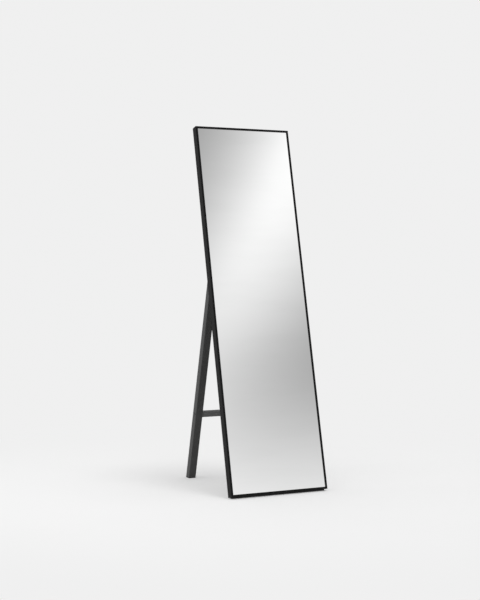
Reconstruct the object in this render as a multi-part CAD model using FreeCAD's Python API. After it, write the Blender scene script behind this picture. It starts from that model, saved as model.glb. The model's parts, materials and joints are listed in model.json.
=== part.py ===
import FreeCAD, Part
import math
import os

# Floor mirror with a folding rear stand. Millimetres and degrees.
# The mirror is drawn upright, its lower front edge on the X axis and its face towards -Y,
# then leaned back. The stand is drawn upright about its pivot, then tilted.

# The whole
mirror_width = 450.0
mirror_height = 1600.0
lean_angle = 13.5
leg_tilt = 15.4
pivot_height = 985.0

# Frame extrusion: front lip, glass pocket, ledge and rear channel
frame_depth = 35.0
lip_width = 9.5
lip_thickness = 1.8
side_wall = 1.8
ledge_width = 10.0
ledge_thickness = 1.6
channel_width = 12.0
channel_inside = 5.0
channel_wall = 1.6
hook_thickness = 1.8
slot_width = 5.0
outer_edge_radius = 0.8
inner_edge_radius = 0.5

# Sheets held in the pocket
glass_thickness = 4.0
foam_thickness = 2.0
board_thickness = 3.0
sheet_gap = 0.1
glass_edge_gap = 1.0
glass_arris = 0.6
block_length = 40.0
block_inset = 88.0

# Corner keys pressed into the channel
key_length = 55.0
key_side_gap = 0.1
seat_gap = 0.1

# Stand rail across the back, with its slot nuts and screws
rail_thickness = 3.0
rail_height = 58.0
rail_end_from_side = 1.5
rail_bend_radius = 2.5
rail_corner_radius = 5.0
joggle_from_wall = 0.8
joggle_run = 10.0
rail_screw_spread = 36.0
rail_screw_radius = 2.0
rail_screw_hole_gap = 0.25
rail_screw_head_radius = 4.0
rail_screw_head_height = 2.6
slot_nut_length = 14.0
slot_nut_thickness = 2.6
slot_nut_side_gap = 0.3
thread_gap = 0.05

# Hinge brackets, welded to the rail along their upper and lower edges
bracket_thickness = 3.0
bracket_bend_radius = 1.5
bracket_reach_down = 25.0
bracket_reach_up = 27.0
ear_radius = 11.0
weld_leg = 2.2

# Pivots
pivot_radius = 4.0
pivot_running_gap = 0.05
pivot_thread_radius = 3.0
pivot_head_radius = 7.0
pivot_head_height = 4.0
nut_across_flats = 10.0
nut_height = 6.0
nut_collar_radius = 4.4
nut_collar_height = 2.0
thread_showing = 1.5
sleeve_wall = 1.5
sleeve_stand_out = 1.5
side_play = 0.2
fold_gap = 1.0
bracket_clearance = 6.0
stop_gap = 0.1

# Legs, their caps and feet
leg_width = 33.0
leg_depth = 35.0
leg_wall = 1.8
leg_corner_radius = 2.5
leg_inset = 30.0
heel_height = 14.0
heel_land = 1.0
heel_edge_radius = 2.0
cap_plug_depth = 8.0
plug_wall = 2.2
plug_gap = 0.1
sole_thickness = 4.0
foot_plug_depth = 18.0

# Crossbar and its bolted joints
crossbar_rise = 308.0
crossbar_height = 25.0
crossbar_depth = 20.0
crossbar_wall = 1.6
crossbar_corner_radius = 2.0
insert_length = 26.0
insert_waist = 10.0
insert_web = 10.0
bolt_radius = 3.0
bolt_hole_gap = 0.2
bolt_head_radius = 5.5
bolt_head_height = 3.0
bolt_grip = 18.0
spacer_wall = 2.0

# Pads under the bottom rail: two wedge strips, end to end
pad_rise = 1.5
pad_from_corner = 8.0
pad_joint_gap = 1.0
pad_front_from_lip = 17.0
pad_back_gap = 1.5

# Worked out from the sizes above
Vec = FreeCAD.Vector
origin = Vec(0, 0, 0)
x_axis = Vec(1, 0, 0)
y_axis = Vec(0, 1, 0)
z_axis = Vec(0, 0, 1)
same_point = 1e-6
half_width = mirror_width / 2
lean = math.radians(lean_angle)
tilt = math.radians(leg_tilt)
open_angle = lean + tilt

glass_front = lip_thickness + sheet_gap
foam_front = glass_front + glass_thickness + sheet_gap
board_front = foam_front + foam_thickness + sheet_gap
ledge_front = board_front + board_thickness + sheet_gap
ledge_back = ledge_front + ledge_thickness
hook_front = frame_depth - hook_thickness
channel_back = hook_front - channel_inside
channel_front = channel_back - channel_wall
channel_inner = channel_width - channel_wall
slot_centre = (side_wall + channel_inner) / 2

pivot_depth = frame_depth + fold_gap + leg_depth / 2
web_back = frame_depth + fold_gap - bracket_clearance
web_front = web_back - bracket_thickness
pivot_to_web = pivot_depth - web_back
leg_centre_x = half_width - leg_inset - leg_width / 2
ear_gap = leg_width + 2 * (sleeve_stand_out + side_play)
bracket_width = ear_gap + 2 * bracket_thickness
sleeve_radius = pivot_radius + pivot_running_gap + sleeve_wall

# Height of the mirror's lower front edge, and of the pivot, above the floor
base_height = pad_rise * math.cos(lean) + frame_depth * math.sin(lean)
pivot_rise = base_height + pivot_height * math.cos(lean) - pivot_depth * math.sin(lean)
pivot_back = pivot_height * math.sin(lean) + pivot_depth * math.cos(lean)

# The origin lies on the floor, midway between the rounded front edge and the back of the feet
foot_back = pivot_back + pivot_rise * math.tan(tilt) + leg_depth / 2 / math.cos(tilt)
front_edge = outer_edge_radius * (math.cos(lean) + math.sin(lean) - 1)
origin_back = (front_edge + foot_back) / 2

# Heights along a leg from its pivot: the floor, the sole's top, the crossbar, the heel and the tube's end
leg_floor = -pivot_rise / math.cos(tilt)
leg_low = leg_floor - leg_depth
sole_top = leg_floor + sole_thickness / math.cos(tilt)
crossbar_place = leg_floor + crossbar_rise
heel_start = (pivot_to_web - stop_gap - leg_depth / 2 * math.cos(open_angle)) / math.sin(open_angle)
tube_top = heel_start - heel_land
heel_top = tube_top + heel_height


def front_plane(point):
    return Vec(point.x, 0, point.y)


def side_plane(point):
    return Vec(0, point.x, point.y)


def level_plane(point):
    return Vec(point.x, point.y, 0)


def rounded_face(corners, plane):
    # Corners are (a, b) or (a, b, radius), in order round the outline.
    spots = [Vec(corner[0], corner[1], 0) for corner in corners]
    stretches = []
    for place, corner in enumerate(corners):
        spot = spots[place]
        radius = corner[2] if len(corner) > 2 else 0
        if radius == 0:
            stretches.append((spot, None, spot))
            continue
        before = (spots[place - 1] - spot).normalize()
        after = (spots[(place + 1) % len(spots)] - spot).normalize()
        half_angle = before.getAngle(after) / 2
        reach = radius / math.tan(half_angle)
        crown = (before + after).normalize() * (radius / math.sin(half_angle) - radius)
        stretches.append((spot + before * reach, spot + crown, spot + after * reach))
    edges = []
    for place, (start, crown, end) in enumerate(stretches):
        if crown is not None:
            edges.append(Part.Arc(plane(start), plane(crown), plane(end)).toShape())
        following = stretches[(place + 1) % len(stretches)][0]
        if (following - end).Length > same_point:
            edges.append(Part.LineSegment(plane(end), plane(following)).toShape())
    return Part.Face(Part.Wire(edges))


def rectangle(width, height, radius, plane):
    a, b = width / 2, height / 2
    return rounded_face([(-a, -b, radius), (a, -b, radius), (a, b, radius), (-a, b, radius)], plane)


def prism(face, start, length, direction):
    return face.translated(direction * start).extrude(direction * length)


def rod(radius, start, length, direction):
    return Part.makeCylinder(radius, length, direction * start, direction)


def turned(profile):
    # A half section of (radius, height) corners turned about the Z axis.
    return rounded_face(profile, front_plane).revolve(origin, z_axis, 360)


def hexagon(across_flats, start, height):
    radius = across_flats / math.sqrt(3)
    corners = []
    for corner in range(6):
        angle = math.radians(60 * corner)
        corners.append((radius * math.cos(angle), radius * math.sin(angle)))
    return prism(rounded_face(corners, level_plane), start, height, z_axis)


def headed_screw(radius, length, head_radius, head_height):
    # Shank along -Z from the underside of the head, which is at the origin.
    return turned([(0, -length), (radius, -length), (radius, 0), (head_radius, 0),
                   (head_radius, head_height), (0, head_height)])


def facing_back(shape):
    return shape.rotated(origin, x_axis, -90)


def facing_right(shape):
    return shape.rotated(origin, y_axis, 90)


def to_left(shape):
    return shape.mirror(origin, x_axis)


def on_both_sides(shape):
    return [shape, to_left(shape)]


def rail_section():
    # Depth from the front along the first axis, distance in from the outer side along the second.
    slot_start = slot_centre - slot_width / 2
    slot_end = slot_centre + slot_width / 2
    return rounded_face([
        (0, 0, outer_edge_radius),
        (0, lip_width, inner_edge_radius),
        (lip_thickness, lip_width),
        (lip_thickness, side_wall),
        (ledge_front, side_wall),
        (ledge_front, ledge_width),
        (ledge_back, ledge_width),
        (ledge_back, side_wall),
        (channel_front, side_wall),
        (channel_front, channel_width),
        (frame_depth, channel_width, inner_edge_radius),
        (frame_depth, slot_end),
        (hook_front, slot_end),
        (hook_front, channel_inner),
        (channel_back, channel_inner),
        (channel_back, side_wall),
        (hook_front, side_wall),
        (hook_front, slot_start),
        (frame_depth, slot_start),
        (frame_depth, 0, outer_edge_radius)], side_plane)


def frame_rail(length):
    # A rail along X with its outer side at Z = 0, cut to a mitre at both ends.
    bar = prism(rail_section(), -length / 2, length, x_axis)
    end = length / 2
    mitred = rounded_face([(-end, 0), (end, 0), (end - channel_width, channel_width),
                           (channel_width - end, channel_width)], front_plane)
    return bar.common(prism(mitred, 0, frame_depth, y_axis))


def frame_rails():
    bottom = frame_rail(mirror_width)
    top = bottom.rotated(origin, y_axis, 180).translated(z_axis * mirror_height)
    middle = z_axis * (mirror_height / 2)
    stile = frame_rail(mirror_height)
    left = stile.rotated(origin, y_axis, 90).translated(middle - x_axis * half_width)
    right = stile.rotated(origin, y_axis, -90).translated(middle + x_axis * half_width)
    return {"top_rail": top, "bottom_rail": bottom, "left_stile": left, "right_stile": right}


def pocket_sheet(front, thickness):
    edge = side_wall + glass_edge_gap
    face = rectangle(mirror_width - 2 * edge, mirror_height - 2 * edge, 0, front_plane)
    return prism(face.translated(z_axis * (mirror_height / 2)), front, thickness, y_axis)


def mirror_glass():
    pane = pocket_sheet(glass_front, glass_thickness)
    front_edges = [edge for edge in pane.Edges if abs(edge.CenterOfMass.y - glass_front) < same_point]
    return pane.makeChamfer(glass_arris, front_edges)


def setting_blocks():
    depth = ledge_front - glass_front - sheet_gap
    block = Part.makeBox(block_length, depth, glass_edge_gap)
    start = half_width - block_inset - block_length
    return on_both_sides(block.translated(Vec(start, glass_front, side_wall)))


def corner_key():
    # Drawn for a corner at the origin, with its arms along +X and +Z.
    outer = side_wall + key_side_gap
    inner = channel_inner - key_side_gap
    outline = rounded_face([(outer, outer), (key_length, outer), (key_length, inner), (inner, inner),
                            (inner, key_length), (outer, key_length)], front_plane)
    return prism(outline, channel_back + seat_gap, channel_inside - 2 * seat_gap, y_axis)


def corner_keys():
    lower_left = corner_key().translated(-x_axis * half_width)
    upper_left = lower_left.mirror(z_axis * (mirror_height / 2), z_axis)
    nodes = pair("bottom_corner_key", to_left(lower_left))
    nodes.update(pair("top_corner_key", to_left(upper_left)))
    return nodes


def rail_outline():
    # Seen from above: a strap with an end tab on each stile, stepped down between them.
    wall = half_width - channel_width
    end = half_width - rail_end_from_side
    step_out = wall - joggle_from_wall
    step_in = step_out - joggle_run
    low_back = web_front
    low_front = low_back - rail_thickness
    high_front = frame_depth
    high_back = frame_depth + rail_thickness
    slope = math.atan2(high_front - low_front, joggle_run)
    shift = rail_thickness * math.tan(slope / 2)
    tight = rail_bend_radius
    wide = rail_bend_radius + rail_thickness
    right = [(step_in, low_front, wide), (step_out, high_front, tight), (end, high_front),
             (end, high_back), (step_out - shift, high_back, wide), (step_in - shift, low_back, tight)]
    left = [(-corner[0],) + corner[1:] for corner in reversed(right)]
    return right + left


def rail_screw_spots():
    side = half_width - slot_centre
    half = rail_screw_spread / 2
    return [(side, half), (side, -half), (-side, half), (-side, -half)]


def rail_middle():
    return pivot_height + (bracket_reach_up - bracket_reach_down) / 2


def stand_rail():
    low = rail_middle() - rail_height / 2
    strap = prism(rounded_face(rail_outline(), level_plane), low, rail_height, z_axis)
    corners = rectangle(mirror_width - 2 * rail_end_from_side, rail_height, rail_corner_radius, front_plane)
    rail = strap.common(prism(corners.translated(z_axis * rail_middle()), 0, pivot_depth, y_axis))
    for across, up in rail_screw_spots():
        hole = rod(rail_screw_radius + rail_screw_hole_gap, frame_depth, rail_thickness, y_axis)
        rail = rail.cut(hole.translated(Vec(across, 0, rail_middle() + up)))
    return rail


def slot_nuts():
    width = channel_inner - side_wall - 2 * slot_nut_side_gap
    back = hook_front - seat_gap
    plate = rectangle(width, slot_nut_length, 0, front_plane)
    nut = prism(plate, back - slot_nut_thickness, slot_nut_thickness, y_axis)
    nut = nut.cut(rod(rail_screw_radius + thread_gap, 0, frame_depth, y_axis))
    return [nut.translated(Vec(across, 0, rail_middle() + up)) for across, up in rail_screw_spots()]


def rail_screws():
    length = rail_thickness + hook_thickness + seat_gap + slot_nut_thickness
    screw = facing_back(headed_screw(rail_screw_radius, length, rail_screw_head_radius,
                                     rail_screw_head_height))
    head_seat = frame_depth + rail_thickness
    return [screw.translated(Vec(across, head_seat, rail_middle() + up)) for across, up in rail_screw_spots()]


def ear_outline():
    # A round eye about the pivot, with straight flanks that run tangent to it from the web.
    reach = pivot_depth - web_front
    corners = []
    touches = []
    for way, height in ((-1, bracket_reach_down), (1, bracket_reach_up)):
        span = math.hypot(reach, height)
        flank = math.atan2(height, reach) - math.asin(ear_radius / span)
        length = math.sqrt(span ** 2 - ear_radius ** 2)
        rise = height - length * math.sin(flank)
        corners.append(Vec(0, web_front, way * height))
        touches.append(Vec(0, web_front + length * math.cos(flank), way * rise))
    eye = Vec(0, pivot_depth + ear_radius, 0)
    edges = [Part.LineSegment(corners[0], touches[0]), Part.Arc(touches[0], eye, touches[1]),
             Part.LineSegment(touches[1], corners[1]), Part.LineSegment(corners[1], corners[0])]
    return Part.Face(Part.Wire([edge.toShape() for edge in edges]))


def hinge_bracket():
    # A folded U: a web on the rail and an ear each side of the leg, drawn about X = 0.
    tip = pivot_depth + ear_radius
    outer, inner = bracket_width / 2, ear_gap / 2
    wide = bracket_bend_radius + bracket_thickness
    tight = bracket_bend_radius
    channel = rounded_face([(-outer, tip), (-outer, web_front, wide), (outer, web_front, wide), (outer, tip),
                            (inner, tip), (inner, web_back, tight), (-inner, web_back, tight), (-inner, tip)],
                           level_plane)
    folded = prism(channel, -bracket_reach_down, bracket_reach_down + bracket_reach_up, z_axis)
    bracket = folded.common(prism(ear_outline(), -outer, bracket_width, x_axis))
    pivot_hole = rod(pivot_radius + pivot_running_gap, -outer, bracket_width, x_axis)
    bracket = bracket.cut(pivot_hole.translated(y_axis * pivot_depth))
    return bracket.translated(Vec(leg_centre_x, 0, pivot_height))


def weld_seams():
    half = bracket_width / 2 - bracket_bend_radius - bracket_thickness
    seams = []
    for way, height in ((-1, bracket_reach_down), (1, bracket_reach_up)):
        edge = way * height
        section = rounded_face([(web_front, edge), (web_front + weld_leg, edge),
                                (web_front, edge + way * weld_leg)], side_plane)
        seam = prism(section, leg_centre_x - half, 2 * half, x_axis)
        seams += on_both_sides(seam.translated(z_axis * pivot_height))
    return seams


def on_pivot(shape):
    # From a piece drawn along Z to the same piece along X on the right-hand pivot.
    return facing_right(shape).translated(Vec(leg_centre_x, pivot_depth, pivot_height))


def pivot_bolt():
    outer = bracket_width / 2
    end = -outer - nut_height - thread_showing
    top = outer + pivot_head_height
    bolt = turned([(0, end), (pivot_thread_radius, end), (pivot_thread_radius, -outer),
                   (pivot_radius, -outer), (pivot_radius, outer), (pivot_head_radius, outer),
                   (pivot_head_radius, top), (0, top)])
    return on_pivot(bolt)


def pivot_nut():
    # A hexagon that bears on the bracket, with the round collar of a lock nut on its far end.
    nut = hexagon(nut_across_flats, nut_collar_height, nut_height - nut_collar_height)
    nut = nut.fuse(rod(nut_collar_radius, 0, nut_collar_height, z_axis))
    nut = nut.cut(rod(pivot_thread_radius + thread_gap, 0, nut_height, z_axis))
    return on_pivot(nut.translated(-z_axis * (bracket_width / 2 + nut_height)))


def pivot_sleeve():
    # A tube through the leg, whose ends stand out to space the leg from the bracket.
    half = leg_width / 2 + sleeve_stand_out
    sleeve = rod(sleeve_radius, -half, 2 * half, x_axis)
    sleeve = sleeve.cut(rod(pivot_radius + pivot_running_gap, -half, 2 * half, x_axis))
    return sleeve.translated(x_axis * leg_centre_x)


def above_floor(shape, height):
    # The part of an upright leg piece that lies above a level, once the leg is tilted.
    half = leg_depth
    top = heel_top + leg_depth
    level = leg_floor + height / math.cos(tilt)
    drop = half * math.tan(tilt)
    keep = rounded_face([(-half, level + drop), (half, level - drop), (half, top), (-half, top)], side_plane)
    return shape.common(prism(keep, -mirror_width, 2 * mirror_width, x_axis))


def leg_solid(bottom, top):
    face = rectangle(leg_width, leg_depth, leg_corner_radius, level_plane)
    return prism(face, bottom, top - bottom, z_axis)


def leg_core(inside, bottom, top):
    # A square-cornered block that lies a distance inside the leg's faces.
    face = rectangle(leg_width - 2 * inside, leg_depth - 2 * inside, 0, level_plane)
    return prism(face, bottom, top - bottom, z_axis)


def leg_plug(bottom, top):
    # The hollow end of a cap or a foot, inside the tube.
    inside = leg_wall + plug_gap
    return leg_core(inside, bottom, top).cut(leg_core(inside + plug_wall, bottom, top))


def leg_tube():
    tube = leg_solid(leg_low, tube_top).cut(leg_core(leg_wall, leg_low, tube_top))
    tube = above_floor(tube, sole_thickness)
    tube = tube.cut(rod(sleeve_radius + plug_gap, -leg_width / 2, leg_width, x_axis))
    bolt_hole = rod(bolt_radius + bolt_hole_gap, -leg_width / 2, leg_width, x_axis)
    tube = tube.cut(bolt_hole.translated(z_axis * crossbar_place))
    return tube.translated(x_axis * leg_centre_x)


def leg_cap():
    # A plug with a sloped heel, which lies flat on the bracket's web when the stand is open.
    half = leg_depth / 2
    lift = heel_top * math.sin(open_angle)
    slope_end = -(pivot_to_web - stop_gap - lift) / math.cos(open_angle)
    side = rounded_face([(-half, tube_top), (-half, heel_start), (slope_end, heel_top, heel_edge_radius),
                         (half, heel_top, heel_edge_radius), (half, tube_top)], side_plane)
    head = prism(side, -leg_width / 2, leg_width, x_axis).common(leg_solid(tube_top, heel_top))
    cap = head.fuse(leg_plug(tube_top - cap_plug_depth, tube_top))
    return cap.translated(x_axis * leg_centre_x)


def foot():
    # A sole cut level with the floor, with a hollow plug in the end of the tube.
    end = leg_solid(leg_low, sole_top + leg_depth)
    sole = above_floor(end, 0).cut(above_floor(end, sole_thickness))
    plug = above_floor(leg_plug(leg_low, sole_top + foot_plug_depth), sole_thickness)
    return sole.fuse(plug).translated(x_axis * leg_centre_x)


def bar_core(inside, start, length):
    # A square-cornered block that lies a distance inside the crossbar's faces.
    face = rectangle(crossbar_depth - 2 * inside, crossbar_height - 2 * inside, 0, side_plane)
    return prism(face.translated(z_axis * crossbar_place), start, length, x_axis)


def crossbar():
    end = leg_centre_x - leg_width / 2
    face = rectangle(crossbar_depth, crossbar_height, crossbar_corner_radius, side_plane)
    bar = prism(face.translated(z_axis * crossbar_place), -end, 2 * end, x_axis)
    return bar.cut(bar_core(crossbar_wall, -end, 2 * end))


def crossbar_insert():
    # A waisted plug in the end of the bar, tapped for the bolt.
    end = leg_centre_x - leg_width / 2
    insert = bar_core(crossbar_wall + plug_gap, end - insert_length, insert_length)
    waist = rectangle(insert_waist, crossbar_height, 0, front_plane)
    waist = waist.translated(Vec(end - insert_length / 2, 0, crossbar_place))
    for way in (1, -1):
        insert = insert.cut(prism(waist, insert_web / 2, crossbar_depth, y_axis * way))
    hole = rod(bolt_radius + thread_gap, end - insert_length, insert_length, x_axis)
    return insert.cut(hole.translated(z_axis * crossbar_place))


def crossbar_bolts():
    bolt = facing_right(headed_screw(bolt_radius, leg_width + bolt_grip, bolt_head_radius, bolt_head_height))
    return on_both_sides(bolt.translated(Vec(leg_centre_x + leg_width / 2, 0, crossbar_place)))


def bolt_spacers():
    inside = leg_width / 2 - leg_wall - seat_gap
    sleeve = rod(bolt_radius + bolt_hole_gap + spacer_wall, -inside, 2 * inside, x_axis)
    sleeve = sleeve.cut(rod(bolt_radius + bolt_hole_gap, -inside, 2 * inside, x_axis))
    return on_both_sides(sleeve.translated(Vec(leg_centre_x, 0, crossbar_place)))


def floor_line(depth):
    # Height of the floor below the leaning frame's lower side, at a depth from its face.
    return -pad_rise - (frame_depth - depth) * math.tan(lean)


def floor_pad():
    # A wedge strip under half of the bottom rail, cut level with the floor.
    front, back = pad_front_from_lip, frame_depth - pad_back_gap
    wedge = rounded_face([(front, floor_line(front)), (back, floor_line(back)), (back, 0), (front, 0)],
                         side_plane)
    start = pad_joint_gap / 2
    return prism(wedge, start, half_width - pad_from_corner - start, x_axis)


def as_mirror(shape):
    leaned = shape.rotated(origin, x_axis, -lean_angle)
    return leaned.translated(Vec(0, -origin_back, base_height))


def as_stand(shape):
    tilted = shape.rotated(origin, x_axis, leg_tilt)
    return tilted.translated(Vec(0, pivot_back - origin_back, pivot_rise))


def pair(name, shape):
    return {"right_" + name: shape, "left_" + name: to_left(shape)}


def mirror_nodes():
    nodes = frame_rails()
    nodes["mirror_glass"] = mirror_glass()
    nodes["foam_sheet"] = pocket_sheet(foam_front, foam_thickness)
    nodes["backing_board"] = pocket_sheet(board_front, board_thickness)
    nodes["setting_blocks"] = Part.makeCompound(setting_blocks())
    nodes.update(corner_keys())
    nodes["stand_rail"] = stand_rail()
    nodes["rail_slot_nuts"] = Part.makeCompound(slot_nuts())
    nodes["rail_screws"] = Part.makeCompound(rail_screws())
    nodes.update(pair("hinge_bracket", hinge_bracket()))
    nodes["weld_seams"] = Part.makeCompound(weld_seams())
    nodes.update(pair("pivot_bolt", pivot_bolt()))
    nodes["pivot_nuts"] = Part.makeCompound(on_both_sides(pivot_nut()))
    nodes.update(pair("floor_pad", floor_pad()))
    return nodes


def stand_nodes():
    nodes = pair("leg", leg_tube())
    nodes.update(pair("leg_cap", leg_cap()))
    nodes.update(pair("foot", foot()))
    nodes.update(pair("pivot_sleeve", pivot_sleeve()))
    nodes["crossbar"] = crossbar()
    nodes.update(pair("crossbar_insert", crossbar_insert()))
    nodes["crossbar_bolts"] = Part.makeCompound(crossbar_bolts())
    nodes["bolt_spacers"] = Part.makeCompound(bolt_spacers())
    return nodes


os.makedirs("parts", exist_ok=True)
for node, shape in mirror_nodes().items():
    as_mirror(shape).exportStep("parts/" + node + ".step")
for node, shape in stand_nodes().items():
    as_stand(shape).exportStep("parts/" + node + ".step")

print("pivot: y %.4f, z %.4f" % (pivot_back - origin_back, pivot_rise))
print("fold: %.3f degrees" % math.degrees(open_angle))
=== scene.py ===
import json
import math

import bmesh
import bpy
from mathutils import Matrix, Vector


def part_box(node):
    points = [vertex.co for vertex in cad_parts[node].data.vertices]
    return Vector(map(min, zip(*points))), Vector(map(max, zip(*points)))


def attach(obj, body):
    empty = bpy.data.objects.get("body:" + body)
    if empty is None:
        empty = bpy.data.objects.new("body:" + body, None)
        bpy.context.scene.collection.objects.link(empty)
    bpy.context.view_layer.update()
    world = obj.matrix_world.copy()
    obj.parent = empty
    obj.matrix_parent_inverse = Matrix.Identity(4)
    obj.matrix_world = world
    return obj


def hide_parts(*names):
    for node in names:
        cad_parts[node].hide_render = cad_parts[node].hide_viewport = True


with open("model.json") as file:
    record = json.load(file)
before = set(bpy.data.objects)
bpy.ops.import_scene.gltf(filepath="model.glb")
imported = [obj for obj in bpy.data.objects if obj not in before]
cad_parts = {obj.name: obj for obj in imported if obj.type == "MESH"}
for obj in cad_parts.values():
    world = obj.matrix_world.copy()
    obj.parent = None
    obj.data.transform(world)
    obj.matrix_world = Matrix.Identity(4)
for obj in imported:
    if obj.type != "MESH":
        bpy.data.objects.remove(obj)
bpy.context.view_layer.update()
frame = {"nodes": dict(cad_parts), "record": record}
nodes = frame["nodes"]
mm = 0.001
print("frame loaded,", len(nodes), "pieces")


class Wire:
    # a shader socket: sums on it become Math nodes

    def __init__(self, tree, socket=None):
        self.tree = tree
        self.socket = socket

    def node(self, kind, settings, inputs, output=0):
        made = self.tree.nodes.new(kind)
        for name, value in settings.items():
            setattr(made, name, value)
        for name, value in inputs.items():
            if isinstance(value, Wire):
                self.tree.links.new(value.socket, made.inputs[name])
            else:
                made.inputs[name].default_value = value
        return Wire(self.tree, made.outputs[output] if made.outputs else None)

    def out(self, output):
        return Wire(self.tree, self.socket.node.outputs[output])

    def math(self, operation, *values):
        return self.node("ShaderNodeMath", {"operation": operation}, dict(enumerate(values)))

    def mix(self, share, first, second):
        # the colour sockets by number, because this node has several of each name
        return self.node("ShaderNodeMix", {"data_type": "RGBA"}, {0: share, 6: first, 7: second}, 2)

    def __add__(self, other):
        return self.math("ADD", self, other)

    def __radd__(self, other):
        return self.math("ADD", other, self)

    def __sub__(self, other):
        return self.math("SUBTRACT", self, other)

    def __rsub__(self, other):
        return self.math("SUBTRACT", other, self)

    def __mul__(self, other):
        return self.math("MULTIPLY", self, other)

    def __rmul__(self, other):
        return self.math("MULTIPLY", other, self)

    def __truediv__(self, other):
        return self.math("DIVIDE", self, other)

    def __rtruediv__(self, other):
        return self.math("DIVIDE", other, self)


def grey(value):
    return (value, value, value, 1)


def newFinish(name):
    # an empty material, with a wire to build on and the places on the object in metres
    finish = bpy.data.materials.new(name)
    finish.use_nodes = True
    finish.node_tree.nodes.clear()
    wire = Wire(finish.node_tree)
    return finish, wire, wire.node("ShaderNodeTexCoord", {}, {}, "Object")


def surface(wire, inputs):
    shader = wire.node("ShaderNodeBsdfPrincipled", {}, inputs)
    wire.node("ShaderNodeOutputMaterial", {}, {"Surface": shader})


def grain(wire, place, scale, detail=3.0, rough=0.55):
    return wire.node("ShaderNodeTexNoise", {}, {"Vector": place, "Scale": scale, "Detail": detail,
                                                "Roughness": rough})


def swing(noise, reach):
    # a noise from 0 to 1 as a sway to both sides of nothing
    return reach * (noise - 0.5)


def ramp(wire, value, nought, full, kind="LINEAR"):
    # 0 to 1 as a value goes from one limit to the other
    return wire.node("ShaderNodeMapRange", {"interpolation_type": kind, "clamp": True},
                     {"Value": value, "From Min": nought, "From Max": full})


def stretched(wire, place, scale, turn=(0, 0, 0)):
    return wire.node("ShaderNodeMapping", {}, {"Vector": place, "Rotation": turn, "Scale": scale})


# edges count as worn by the cosine between the rounded and the true surface
edgeLook = {"samples": 6, "unworn": 0.995, "worn": 0.86}


def edgeWear(wire, radius):
    # the rounded surface, and a mask from 0 on flat stretches to 1 on sharp edges
    soft = wire.node("ShaderNodeBevel", {"samples": edgeLook["samples"]}, {"Radius": radius})
    flat = wire.node("ShaderNodeNewGeometry", {}, {}, "Normal")
    along = wire.node("ShaderNodeVectorMath", {"operation": "DOT_PRODUCT"}, {0: soft, 1: flat}, "Value")
    return soft, ramp(wire, along, edgeLook["unworn"], edgeLook["worn"])


# powder coats: a fine orange-peel skin, rubbed a little lighter on the edges
frameCoat = {"name": "frameCoat", "colour": 0.007, "worn": 0.050, "gloss": 0.55, "specular": 0.09,
             "peel": 1100, "depth": 0.10 * mm, "speckle": 0.5}
legCoat = {"name": "legCoat", "colour": 0.060, "worn": 0.092, "gloss": 0.45, "specular": 0.11,
           "peel": 1000, "depth": 0.10 * mm, "speckle": 0.25}
# the crossbar's coat is the leg coat made lighter: painted light for the extra light its face catches
paintedLightBarCoat = {"name": "paintedLightBarCoat", "colour": 0.116, "worn": 0.140, "gloss": 0.45, "specular": 0.30,
           "peel": 1000, "depth": 0.10 * mm, "speckle": 0.20}
steelCoat = {"name": "steelCoat", "colour": 0.014, "worn": 0.050, "gloss": 0.42, "specular": 0.40,
             "peel": 800, "depth": 0.12 * mm, "speckle": 0.40}
coatSkin = {"edge": 0.5 * mm, "clouds": 14, "cloudShade": 0.15, "cloudGloss": 0.10, "peelDetail": 2.0,
            "peelPit": 0.3, "peelTop": 0.7, "rubs": 160, "rubDetail": 4.0, "rubGloss": 0.08, "bump": 0.6}


def powderCoat(look):
    finish, wire, place = newFinish(look["name"])
    soft, wear = edgeWear(wire, coatSkin["edge"])
    cloud = grain(wire, place, coatSkin["clouds"])
    peel = grain(wire, place, look["peel"], coatSkin["peelDetail"])
    peel = ramp(wire, peel, coatSkin["peelPit"], coatSkin["peelTop"])
    rub = wear * grain(wire, place, coatSkin["rubs"], coatSkin["rubDetail"])
    shades = []
    for side in (1 - look["speckle"], 1 + look["speckle"]):
        darker = look["colour"] * side * (1 - coatSkin["cloudShade"])
        lighter = look["colour"] * side * (1 + coatSkin["cloudShade"])
        shades.append(wire.mix(cloud, grey(darker), grey(lighter)))
    tone = wire.mix(rub, wire.mix(peel, *shades), grey(look["worn"]))
    gloss = look["gloss"] + swing(cloud, coatSkin["cloudGloss"]) - coatSkin["rubGloss"] * rub
    skin = wire.node("ShaderNodeBump", {}, {"Strength": coatSkin["bump"], "Distance": look["depth"],
                                            "Height": peel, "Normal": soft})
    surface(wire, {"Base Color": tone, "Roughness": gloss, "Specular IOR Level": look["specular"],
                   "Normal": skin})
    return finish


silverLook = {"tint": (0.930, 0.932, 0.931, 1), "hazed": (0.905, 0.908, 0.906, 1), "clean": 0.006,
              "haze": 0.020, "wipes": 3, "wipeDetail": 5.0, "wipeTurn": (0.2, 0.5, 0),
              "wipeStretch": (1, 1, 5), "hazeStart": 0.45, "hazeFull": 0.8}


def silveredGlass():
    # a clean silvered sheet with the faintest haze left by wiping
    finish, wire, place = newFinish("silveredGlass")
    wiped = stretched(wire, place, silverLook["wipeStretch"], silverLook["wipeTurn"])
    wipes = grain(wire, wiped, silverLook["wipes"], silverLook["wipeDetail"])
    haze = ramp(wire, wipes, silverLook["hazeStart"], silverLook["hazeFull"])
    surface(wire, {"Base Color": wire.mix(haze, silverLook["tint"], silverLook["hazed"]), "Metallic": 1.0,
                   "Roughness": silverLook["clean"] + silverLook["haze"] * haze})
    return finish


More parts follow.
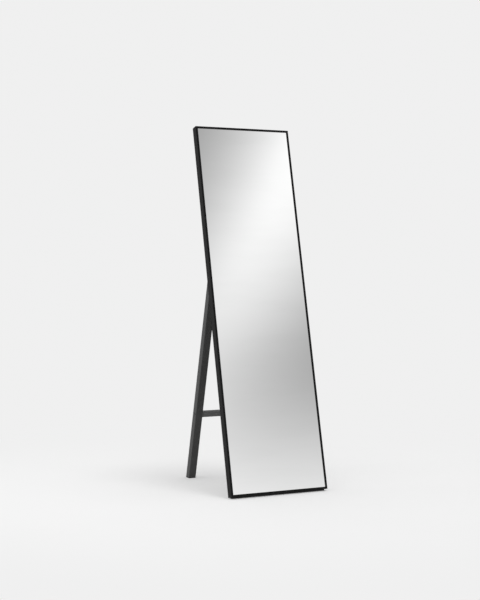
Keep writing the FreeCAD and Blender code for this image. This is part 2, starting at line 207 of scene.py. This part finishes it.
boardLook = {"pale": (0.34, 0.335, 0.322, 1), "dark": (0.15, 0.147, 0.140, 1), "rough": 0.72,
             "fibres": 650, "fibreDetail": 5.0, "fibreStretch": (1, 1, 0.16), "fibreShare": 0.5,
             "clouds": 60, "cloudDetail": 6.0, "cloudGloss": 0.2, "crisp": 0.7,
             "flecks": 520, "fleckStretch": (1, 1, 0.3), "fleckTurn": (0, 0.9, 0), "fleckShare": 0.6,
             "fleckRim": 0.34, "fleckCore": 0.18, "darkAbove": 0.74, "paleBelow": 0.22,
             "darkFleck": (0.080, 0.078, 0.074, 1), "paleFleck": (0.46, 0.45, 0.43, 1),
             "nap": 0.5, "napDepth": 0.12 * mm}


def fibreBoard():
    # pressed grey board: clouds of pulp, fine fibres, and a few pale and dark flecks
    finish, wire, place = newFinish("fibreBoard")
    strand = stretched(wire, place, boardLook["fibreStretch"])
    fibre = grain(wire, strand, boardLook["fibres"], boardLook["fibreDetail"], boardLook["crisp"])
    cloud = grain(wire, place, boardLook["clouds"], boardLook["cloudDetail"], boardLook["crisp"])
    pulp = boardLook["fibreShare"] * fibre + (1 - boardLook["fibreShare"]) * cloud
    tone = wire.mix(pulp, boardLook["dark"], boardLook["pale"])
    slant = stretched(wire, place, boardLook["fleckStretch"], boardLook["fleckTurn"])
    cells = wire.node("ShaderNodeTexVoronoi", {}, {"Vector": slant, "Scale": boardLook["flecks"]})
    speck = boardLook["fleckShare"] * ramp(wire, cells, boardLook["fleckRim"], boardLook["fleckCore"])
    pick = wire.node("ShaderNodeSeparateColor", {}, {"Color": cells.out("Color")})  # one number per fleck
    dark = speck * wire.math("GREATER_THAN", pick, boardLook["darkAbove"])
    pale = speck * wire.math("LESS_THAN", pick, boardLook["paleBelow"])
    tone = wire.mix(dark, tone, boardLook["darkFleck"])
    tone = wire.mix(pale, tone, boardLook["paleFleck"])
    nap = wire.node("ShaderNodeBump", {}, {"Strength": boardLook["nap"], "Distance": boardLook["napDepth"],
                                           "Height": fibre})
    rough = boardLook["rough"] + swing(cloud, boardLook["cloudGloss"])
    surface(wire, {"Base Color": tone, "Roughness": rough, "Normal": nap})
    return finish


foamLook = {"cells": 900, "low": grey(0.62), "high": grey(0.86), "rough": 0.9, "pores": 0.6,
            "poreDepth": 0.3 * mm}


def foamSheet():
    finish, wire, place = newFinish("foamSheet")
    cells = wire.node("ShaderNodeTexVoronoi", {}, {"Vector": place, "Scale": foamLook["cells"]})
    pores = wire.node("ShaderNodeBump", {}, {"Strength": foamLook["pores"],
                                             "Distance": foamLook["poreDepth"], "Height": cells})
    surface(wire, {"Base Color": wire.mix(cells, foamLook["low"], foamLook["high"]),
                   "Roughness": foamLook["rough"], "Normal": pores})
    return finish


# moulded plastics and rubbers: a spark-eroded grain with soft blotches
moulded = {
    "blackPlastic": {"low": grey(0.014), "high": grey(0.024), "rough": 0.52, "grain": 1500,
                     "depth": 0.06 * mm},
    "paleNylon": {"low": (0.70, 0.69, 0.63, 1), "high": (0.80, 0.79, 0.74, 1), "rough": 0.45, "grain": 700,
                  "depth": 0.03 * mm},
    "blackRubber": {"low": grey(0.010), "high": grey(0.020), "rough": 0.80, "grain": 900,
                    "depth": 0.10 * mm},
    "greyRubber": {"low": grey(0.28), "high": grey(0.36), "rough": 0.75, "grain": 900,
                   "depth": 0.10 * mm}}
mouldSkin = {"edge": 0.6 * mm, "blotches": 45, "blotchDetail": 4.0, "blotchGloss": 0.12, "grainDetail": 2.0,
             "wornGloss": 0.10, "bump": 0.5}


def mouldedFinish(name):
    look = moulded[name]
    finish, wire, place = newFinish(name)
    soft, wear = edgeWear(wire, mouldSkin["edge"])
    blotch = grain(wire, place, mouldSkin["blotches"], mouldSkin["blotchDetail"])
    spark = grain(wire, place, look["grain"], mouldSkin["grainDetail"])
    gloss = look["rough"] + swing(blotch, mouldSkin["blotchGloss"]) - mouldSkin["wornGloss"] * wear
    skin = wire.node("ShaderNodeBump", {}, {"Strength": mouldSkin["bump"], "Distance": look["depth"],
                                            "Height": spark, "Normal": soft})
    surface(wire, {"Base Color": wire.mix(blotch, look["low"], look["high"]), "Roughness": gloss,
                   "Normal": skin})
    return finish


# bare metals: lines along the way they were drawn, stains, and edges polished by handling
metals = {
    "darkSteel": {"low": grey(0.10), "high": grey(0.19), "rough": 0.36, "draw": (900, 900, 60)},
    "millAluminium": {"low": grey(0.60), "high": grey(0.74), "rough": 0.36, "draw": (60, 1400, 1400)}}
metalSkin = {"edge": 0.3 * mm, "lineShare": 0.6, "stains": 300, "stainDetail": 4.0, "stainGloss": 0.2,
             "wornShare": 0.5, "wornGloss": 0.06, "bump": 0.25, "depth": 0.03 * mm}


def metalFinish(name):
    look = metals[name]
    finish, wire, place = newFinish(name)
    soft, wear = edgeWear(wire, metalSkin["edge"])
    lines = grain(wire, stretched(wire, place, look["draw"]), 1)  # the stretch sets the scale
    stain = grain(wire, place, metalSkin["stains"], metalSkin["stainDetail"])
    marks = metalSkin["lineShare"] * lines + (1 - metalSkin["lineShare"]) * stain
    tone = wire.mix(marks, look["low"], look["high"])
    tone = wire.mix(metalSkin["wornShare"] * wear, tone, look["high"])
    gloss = look["rough"] + swing(stain, metalSkin["stainGloss"]) - metalSkin["wornGloss"] * wear
    scored = wire.node("ShaderNodeBump", {}, {"Strength": metalSkin["bump"], "Distance": metalSkin["depth"],
                                              "Height": lines, "Normal": soft})
    surface(wire, {"Base Color": tone, "Metallic": 1.0, "Roughness": gloss, "Normal": scored})
    return finish


finishes = {
    "frame_coat": powderCoat(frameCoat), "leg_coat": powderCoat(legCoat), "bar": powderCoat(paintedLightBarCoat),
    "steel_coat": powderCoat(steelCoat), "silvered_glass": silveredGlass(), "fibre_board": fibreBoard(),
    "white_foam": foamSheet(), "black_plastic": mouldedFinish("blackPlastic"),
    "pale_nylon": mouldedFinish("paleNylon"), "black_rubber": mouldedFinish("blackRubber"),
    "clear_grey_rubber": mouldedFinish("greyRubber"), "dark_steel": metalFinish("darkSteel"),
    "bare_aluminium": metalFinish("millAluminium")}
for piece in frame["record"]["subparts"]:
    # the crossbar wears a lighter copy of the leg coat: painted light, standing in for the extra light its
    # face catches
    slot = "bar" if piece["node"] == "crossbar" else piece["material_slot"]
    nodes[piece["node"]].material_slots[0].material = finishes[slot]
print("finishes on,", len(finishes))


# the way the leaning glass faces, read from its largest face, and the ways square to it
glassOut = max(nodes["mirror_glass"].data.polygons, key=lambda face: face.area).normal.copy()
glassOut = glassOut if glassOut.y < 0 else -glassOut
backwards = -glassOut
rightwards = Vector((1, 0, 0))
upwards = rightwards.cross(backwards)
outwards = {"left": -rightwards, "right": rightwards}


def solidsOf(name):
    # the corner points of each separate solid in a node
    mesh = nodes[name].data
    spots = [tuple(round(value, 6) for value in vertex.co) for vertex in mesh.vertices]
    owner = {spot: spot for spot in spots}

    def chief(spot):
        while owner[spot] != spot:
            spot = owner[spot]
        return spot

    for face in mesh.polygons:
        first = chief(spots[face.vertices[0]])
        for corner in face.vertices:
            owner[chief(spots[corner])] = first
    solids = {}
    for spot in owner:
        solids.setdefault(chief(spot), []).append(Vector(spot))
    return list(solids.values())


def sideOf(points):
    return "right" if points[0].x > 0 else "left"


def reachesOf(points, ways):
    # how far a solid goes, from and to, along each way
    steps = [[point.dot(way) for point in points] for way in ways]
    return [(min(along), max(along)) for along in steps]


def seatAt(ways, spot):
    # a frame with its X, Y and Z along three ways
    seat = Matrix(ways).transposed().to_4x4()
    seat.translation = spot
    return seat


def seatOf(points, axis):
    # a frame whose Z runs along a turned solid from its low end, with its length and radius
    side = axis.orthogonal().normalized()
    up = axis.cross(side)
    across, over, along = reachesOf(points, (side, up, axis))
    middle = side * (sum(across) / 2) + up * (sum(over) / 2) + axis * along[0]
    return seatAt((side, up, axis), middle), along[1] - along[0], (across[1] - across[0]) / 2


def hexRadius(flats):
    # radius of a hexagon at an angle, for its width across flats
    return lambda angle: flats / 2 / math.cos((angle + math.pi / 6) % (math.pi / 3) - math.pi / 6)


def threadRadius(core, outer, pitch, height):
    # radius of a thread's ridge at an angle, at a height along the bolt
    def radius(angle):
        turn = (height / pitch + angle / math.tau) % 1
        return core + (outer - core) * (1 - abs(2 * turn - 1))
    return radius


def meshFrom(name, mesh):
    data = bpy.data.meshes.new(name)
    mesh.to_mesh(data)
    mesh.free()
    return data


def spun(name, rings, sides=48, bored=False):
    # a closed solid from rings of (height, radius), where a radius may depend on the angle
    mesh = bmesh.new()
    loops = []
    for height, radius in rings:
        loop = []
        for step in range(sides):
            angle = math.tau * step / sides
            reach = radius(angle) if callable(radius) else radius
            loop.append(mesh.verts.new((reach * math.cos(angle), reach * math.sin(angle), height)))
        loops.append(loop)
    if bored:
        loops.append(loops[0])  # the last ring runs on into the first, so a hole goes through
    else:
        mesh.faces.new(reversed(loops[0]))
        mesh.faces.new(loops[-1])
    for lower, upper in zip(loops, loops[1:]):
        for step in range(sides):
            following = (step + 1) % sides
            mesh.faces.new((lower[step], lower[following], upper[following], upper[step]))
    return meshFrom(name, mesh)


sharpFrom = 35  # degrees between faces, past which an edge stays sharp


def addPiece(name, data, seat, body, slot, stoodFor):
    for face in data.polygons:
        face.use_smooth = True
    data.set_sharp_from_angle(angle=math.radians(sharpFrom))
    data.materials.append(finishes[slot])
    piece = bpy.data.objects.new(name, data)
    bpy.context.scene.collection.objects.link(piece)
    piece.matrix_world = seat
    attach(piece, body)
    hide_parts(stoodFor)


# what all domed heads share: shares of the shank, of the socket's flats, and small chamfers
buttonForm = {"tip": 0.8, "tipChamfer": 0.3 * mm, "under": 0.2 * mm, "crownSteps": 6, "mouth": 0.75,
              "mouthChamfer": 0.05 * mm, "point": 0.1, "pointDepth": 0.3 * mm}


def buttonHead(length, radius, look):
    # a domed head with a hexagon socket on a plain shank
    seat = length - look["headHeight"]
    edge = seat + look["rim"]
    dome = length - edge
    inset = radius - look["flats"] * buttonForm["mouth"]
    crown = []
    for step in range(1, buttonForm["crownSteps"] + 1):
        angle = math.pi / 2 * step / buttonForm["crownSteps"]
        crown.append((edge + dome * math.sin(angle), radius - inset * (1 - math.cos(angle))))
    socket = hexRadius(look["flats"])
    bottom = length - look["socket"]
    under = buttonForm["under"]
    return [(0, look["shank"] * buttonForm["tip"]), (buttonForm["tipChamfer"], look["shank"]),
            (seat, look["shank"]), (seat, radius - under), (seat + under, radius), (edge, radius), *crown,
            (length - buttonForm["mouthChamfer"], socket), (bottom, socket),
            (bottom - buttonForm["pointDepth"], look["flats"] * buttonForm["point"])]


railScrew = {"shank": 2.0 * mm, "headHeight": 2.6 * mm, "rim": 0.9 * mm, "flats": 2.5 * mm,
             "socket": 1.4 * mm}
for number, points in enumerate(solidsOf("rail_screws")):
    seat, length, radius = seatOf(points, backwards)
    data = spun("railScrew", buttonHead(length, radius, railScrew))
    addPiece("railScrew_%d" % (number + 1), data, seat, "mirror", "dark_steel", "rail_screws")

barBolt = {"shank": 3.0 * mm, "headHeight": 3.0 * mm, "rim": 1.0 * mm, "flats": 4.0 * mm,
           "socket": 1.7 * mm}
for points in solidsOf("crossbar_bolts"):
    side = sideOf(points)
    seat, length, radius = seatOf(points, outwards[side])
    data = spun("crossbarBolt", buttonHead(length, radius, barBolt))
    addPiece("crossbarBolt_" + side, data, seat, "stand", "dark_steel", "crossbar_bolts")

pivotBolt = {"shank": 4.0 * mm, "shoulder": 0.2 * mm, "thread": 3.0 * mm, "core": 2.5 * mm, "tip": 0.9,
             "pitch": 1.0 * mm, "stepsPerTurn": 8, "threaded": 7.5 * mm, "headHeight": 4.0 * mm,
             "rim": 1.6 * mm, "flats": 5.0 * mm, "socket": 2.2 * mm}


def shoulderBolt(length, radius, look):
    # a button head on a plain shoulder, with a threaded end below it
    rings = [(0, look["core"] * look["tip"])]
    rise = look["pitch"] / look["stepsPerTurn"]
    for step in range(1, round(look["threaded"] / rise)):
        height = step * rise
        rings.append((height, threadRadius(look["core"], look["thread"], look["pitch"], height)))
    start = look["threaded"]
    rings += [(start, look["core"]), (start, look["shank"] - look["shoulder"]),
              (start + look["shoulder"], look["shank"])]
    return rings + buttonHead(length, radius, look)[2:]  # without the plain shank's tip


for side, away in outwards.items():
    node = side + "_pivot_bolt"
    seat, length, radius = seatOf(solidsOf(node)[0], away)
    data = spun("pivotBolt", shoulderBolt(length, radius, pivotBolt))
    addPiece("pivotBolt_" + side, data, seat, "mirror", "dark_steel", node)

lockNut = {"flats": 10.0 * mm, "hexHeight": 4.0 * mm, "chamfer": 0.5 * mm, "collar": 4.4 * mm,
           "roll": 0.6 * mm, "rollStart": 15, "rollEnd": 90, "rollSteps": 5, "bore": 3.05 * mm,
           "lowMouth": 0.3 * mm, "topMouth": 0.2 * mm}


def nutRings(length, look):
    # a chamfered hexagon with the rolled collar of a lock nut above it, round an open bore
    hexagon = hexRadius(look["flats"])
    face = look["flats"] / 2
    top = look["hexHeight"]
    bore = look["bore"]
    rolled = length - look["roll"]
    rings = [(0, bore + look["lowMouth"]), (0, face), (look["chamfer"], hexagon),
             (top - look["chamfer"], hexagon), (top, face), (top, look["collar"]), (rolled, look["collar"])]
    for step in range(look["rollSteps"] + 1):
        share = step / look["rollSteps"]
        angle = math.radians(look["rollStart"] + (look["rollEnd"] - look["rollStart"]) * share)
        inner = look["collar"] - look["roll"]
        rings.append((rolled + look["roll"] * math.sin(angle), inner + look["roll"] * math.cos(angle)))
    return rings + [(length, bore + look["topMouth"]), (length - look["topMouth"], bore),
                    (look["lowMouth"], bore)]


for points in solidsOf("pivot_nuts"):
    side = sideOf(points)
    seat, length = seatOf(points, -outwards[side])[:2]
    data = spun("pivotNut", nutRings(length, lockNut), bored=True)
    addPiece("pivotNut_" + side, data, seat, "mirror", "dark_steel", "pivot_nuts")

weldBead = {"ripples": 11, "swell": 0.12, "taper": 0.12, "ends": 0.55, "across": 10, "steps": 6}


def beadMesh(length, leg, look):
    # a fillet bead along X, in the corner of Y and Z, with a ripple for each drop of weld
    mesh = bmesh.new()
    count = look["ripples"] * look["steps"]
    loops = []
    for place in range(count + 1):
        share = place / count
        ripple = abs(math.sin(math.pi * look["ripples"] * share))
        taper = min(1, share / look["taper"], (1 - share) / look["taper"])
        height = look["ends"] + (1 - look["ends"]) * math.sqrt(taper)
        reach = leg * height * (1 - look["swell"] + look["swell"] * ripple)
        loop = [mesh.verts.new((length * share, 0, 0))]
        for step in range(look["across"] + 1):
            angle = math.pi / 2 * step / look["across"]
            spot = (length * share, reach * math.cos(angle), reach * math.sin(angle))
            loop.append(mesh.verts.new(spot))
        loops.append(loop)
    for lower, upper in zip(loops, loops[1:]):
        for step, corner in enumerate(lower):
            following = (step + 1) % len(lower)
            mesh.faces.new((corner, lower[following], upper[following], upper[step]))
    mesh.faces.new(loops[0])
    mesh.faces.new(reversed(loops[-1]))
    bmesh.ops.recalc_face_normals(mesh, faces=mesh.faces)
    return meshFrom("weldBead", mesh)


bracketMiddle = sum(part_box("left_hinge_bracket"), Vector()) / 2
for number, points in enumerate(solidsOf("weld_seams")):
    middle = sum(points, Vector()) / len(points)
    away = upwards if middle.z > bracketMiddle.z else -upwards
    ways = (rightwards, backwards, away)
    reaches = reachesOf(points, ways)
    corner = sum((way * reach[0] for way, reach in zip(ways, reaches)), Vector())
    length, leg = [reach[1] - reach[0] for reach in reaches[:2]]
    data = beadMesh(length, leg, weldBead)
    addPiece("weldBead_%d" % (number + 1), data, seatAt(ways, corner), "mirror", "steel_coat", "weld_seams")
print("fasteners and welds on")


# a pale floor that keeps the shadow near the object and fades into the background
floorLook = {"colour": 0.85, "mottle": 0.01, "mottles": 3, "pale": 0.87, "radius": 30.0, "sides": 96,
             "near": 0.8, "far": 1.9, "shade": 0.69}


def paleFloor():
    finish, wire, place = newFinish("paleFloor")
    away = wire.node("ShaderNodeVectorMath", {"operation": "LENGTH"}, {0: place}, "Value")
    fade = ramp(wire, away, floorLook["near"], floorLook["far"], "SMOOTHSTEP")
    darker = grey(floorLook["colour"] - floorLook["mottle"])
    lighter = grey(floorLook["colour"] + floorLook["mottle"])
    tone = wire.mix(grain(wire, place, floorLook["mottles"]), darker, lighter)
    matt = wire.node("ShaderNodeBsdfDiffuse", {}, {"Color": tone})
    glow = wire.node("ShaderNodeEmission", {}, {"Color": grey(floorLook["pale"])})
    seen = wire.node("ShaderNodeLightPath", {}, {}, "Is Camera Ray")
    mirrored = wire.math("MAXIMUM", seen.out("Is Glossy Ray"), seen.out("Is Transmission Ray"))
    share = wire.math("MAXIMUM", seen, mirrored) * (1 - floorLook["shade"] * (1 - fade))
    mixed = wire.node("ShaderNodeMixShader", {}, {0: share, 1: matt, 2: glow})
    wire.node("ShaderNodeOutputMaterial", {}, {"Surface": mixed})
    return finish


floorMesh = bmesh.new()
bmesh.ops.create_circle(floorMesh, cap_ends=True, radius=floorLook["radius"], segments=floorLook["sides"])
floorData = meshFrom("floor", floorMesh)
floorData.materials.append(paleFloor())
floor = bpy.data.objects.new("floor", floorData)
bpy.context.scene.collection.objects.link(floor)

# the room: pale to the camera, soft diagonal bands of light in reflections, angles in degrees
room = {"pale": 0.87, "ambient": 0.84,  # what the camera sees, and the light on matt surfaces
        "dim": 0.097, "band": 0.889, "rise": 0.040, "level": 25.0, "most": 1.1,  # between and in the bands
        "shift": -3.93, "repeat": 30.0, "upper": 5.12, "lower": 7.27, "hold": 9.5,  # their place and widths
        "glow": 0.773, "glowLow": 10.0, "glowHigh": 20.4,  # a glow that grows towards the horizon
        "top": 1.075, "ease": 0.12}  # a soft limit, so that no reflection clips


def studioRoom():
    world = bpy.data.worlds.new("studioRoom")
    bpy.context.scene.world = world
    world.use_nodes = True
    world.node_tree.nodes.clear()
    wire = Wire(world.node_tree)
    aim = wire.node("ShaderNodeTexCoord", {}, {}, "Generated")
    way = wire.node("ShaderNodeSeparateXYZ", {}, {"Vector": aim})
    radian = math.degrees(1)
    height = wire.math("ARCSINE", way.out("Z")) * radian
    turn = wire.math("ARCTAN2", way.out("X"), -1 * way.out("Y")) * radian
    half = room["repeat"] / 2
    across = wire.math("WRAP", height - turn - room["shift"], half, -half)
    # the upper side of a band is narrower, but meets the next band at that band's width
    narrow = ramp(wire, across, half, room["hold"], "SMOOTHSTEP") * wire.math("GREATER_THAN", across, 0)
    across = across / (room["lower"] + (room["upper"] - room["lower"]) * narrow)
    strength = wire.math("MAXIMUM", room["band"] + room["rise"] * (height - room["level"]), 0)
    strength = wire.math("MINIMUM", strength, room["most"])
    low = ramp(wire, height, room["glowHigh"], room["glowLow"], "SMOOTHSTEP")
    bands = room["dim"] + strength / (1 + across * across) + room["glow"] * low
    bands = wire.math("SMOOTH_MIN", bands, room["top"], room["ease"])
    seen = wire.node("ShaderNodeLightPath", {}, {}, "Is Camera Ray")
    direct = wire.math("MAXIMUM", seen, seen.out("Is Transmission Ray"))
    ambient = wire.node("ShaderNodeBackground", {}, {"Color": grey(1), "Strength": room["ambient"]})
    pale = wire.node("ShaderNodeBackground", {}, {"Color": grey(room["pale"])})
    shine = wire.node("ShaderNodeBackground", {}, {"Color": bands})
    plain = wire.node("ShaderNodeMixShader", {}, {0: direct, 1: ambient, 2: pale})
    mixed = wire.node("ShaderNodeMixShader", {}, {0: seen.out("Is Glossy Ray"), 1: plain, 2: shine})
    wire.node("ShaderNodeOutputWorld", {}, {"Surface": mixed})


studioRoom()

softboxes = {
    "keySoftbox": {"place": (0.8, -1.56, 8.0), "aim": (0, 0, 0.5), "size": 2.0, "power": 130},
    "leftSoftbox": {"place": (-3.0, 0.6, 1.8), "aim": (0, 0, 0.6), "size": 1.8, "power": 14}}
for name, look in softboxes.items():
    lamp = bpy.data.lights.new(name, "AREA")
    lamp.shape = "DISK"
    lamp.size = look["size"]
    lamp.energy = look["power"]
    holder = bpy.data.objects.new(name, lamp)
    bpy.context.scene.collection.objects.link(holder)
    holder.location = look["place"]
    towards = Vector(look["aim"]) - Vector(look["place"])
    holder.rotation_euler = towards.to_track_quat("-Z", "Y").to_euler()
    holder.visible_glossy = False  # the glass shows the room's bands instead
print("floor, room and softboxes on")

# the photograph's viewpoint: place in metres, angles in degrees, focal length in pixels of the picture
cameraLook = {"place": (-2.2603, -4.725, 0.9743), "turn": 25.016, "pitch": -1.809, "focal": 1198.4,
              "tall": 600, "sensor": 36}
lens = bpy.data.cameras.new("camera")
lens.sensor_width = cameraLook["sensor"]
lens.lens = cameraLook["sensor"] * cameraLook["focal"] / cameraLook["tall"]
camera = bpy.data.objects.new("camera", lens)
bpy.context.scene.collection.objects.link(camera)
camera.location = cameraLook["place"]
camera.rotation_euler = (math.radians(90 + cameraLook["pitch"]), 0, math.radians(-cameraLook["turn"]))
bpy.context.scene.camera = camera
bpy.context.scene.view_settings.view_transform = "Standard"
